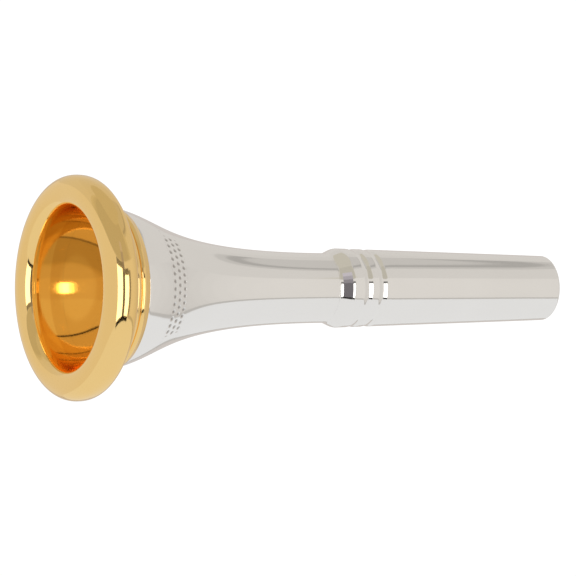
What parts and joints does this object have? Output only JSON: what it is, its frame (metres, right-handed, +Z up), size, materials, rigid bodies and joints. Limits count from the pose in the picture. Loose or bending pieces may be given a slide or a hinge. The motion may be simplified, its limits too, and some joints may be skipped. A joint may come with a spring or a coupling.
{
  "type": "french horn mouthpiece",
  "caption": "French horn mouthpiece with a gold-plated screw rim, a silver-plated funnel cup and a tapered silver-plated shank.",
  "frame": {"origin": "on the mouthpiece's axis at the gauge plane, where the taper meets the mouth of the instrument's receiver", "axes": "+X along the mouthpiece's axis from the rim to the shank's tip, +Z up, so the mouthpiece lies level"},
  "size_m": [0.065, 0.025, 0.025],
  "materials": {
    "gold_plate": "polished gold plate on brass",
    "silver_plate": "polished silver plate on brass"
  },
  "bodies": {
    "shank": {"shank": "silver_plate"},
    "cup": {"cup": "silver_plate"},
    "rim": {"rim": "gold_plate"}
  },
  "joints": [
    {"name": "cup_unscrew", "type": "slide", "parent": "shank", "child": "cup", "axis": [-1, 0, 0], "range_m": [0, 0.014]},
    {"name": "rim_unscrew", "type": "slide", "parent": "cup", "child": "rim", "axis": [-1, 0, 0], "range_m": [0, 0.01]}
  ]
}
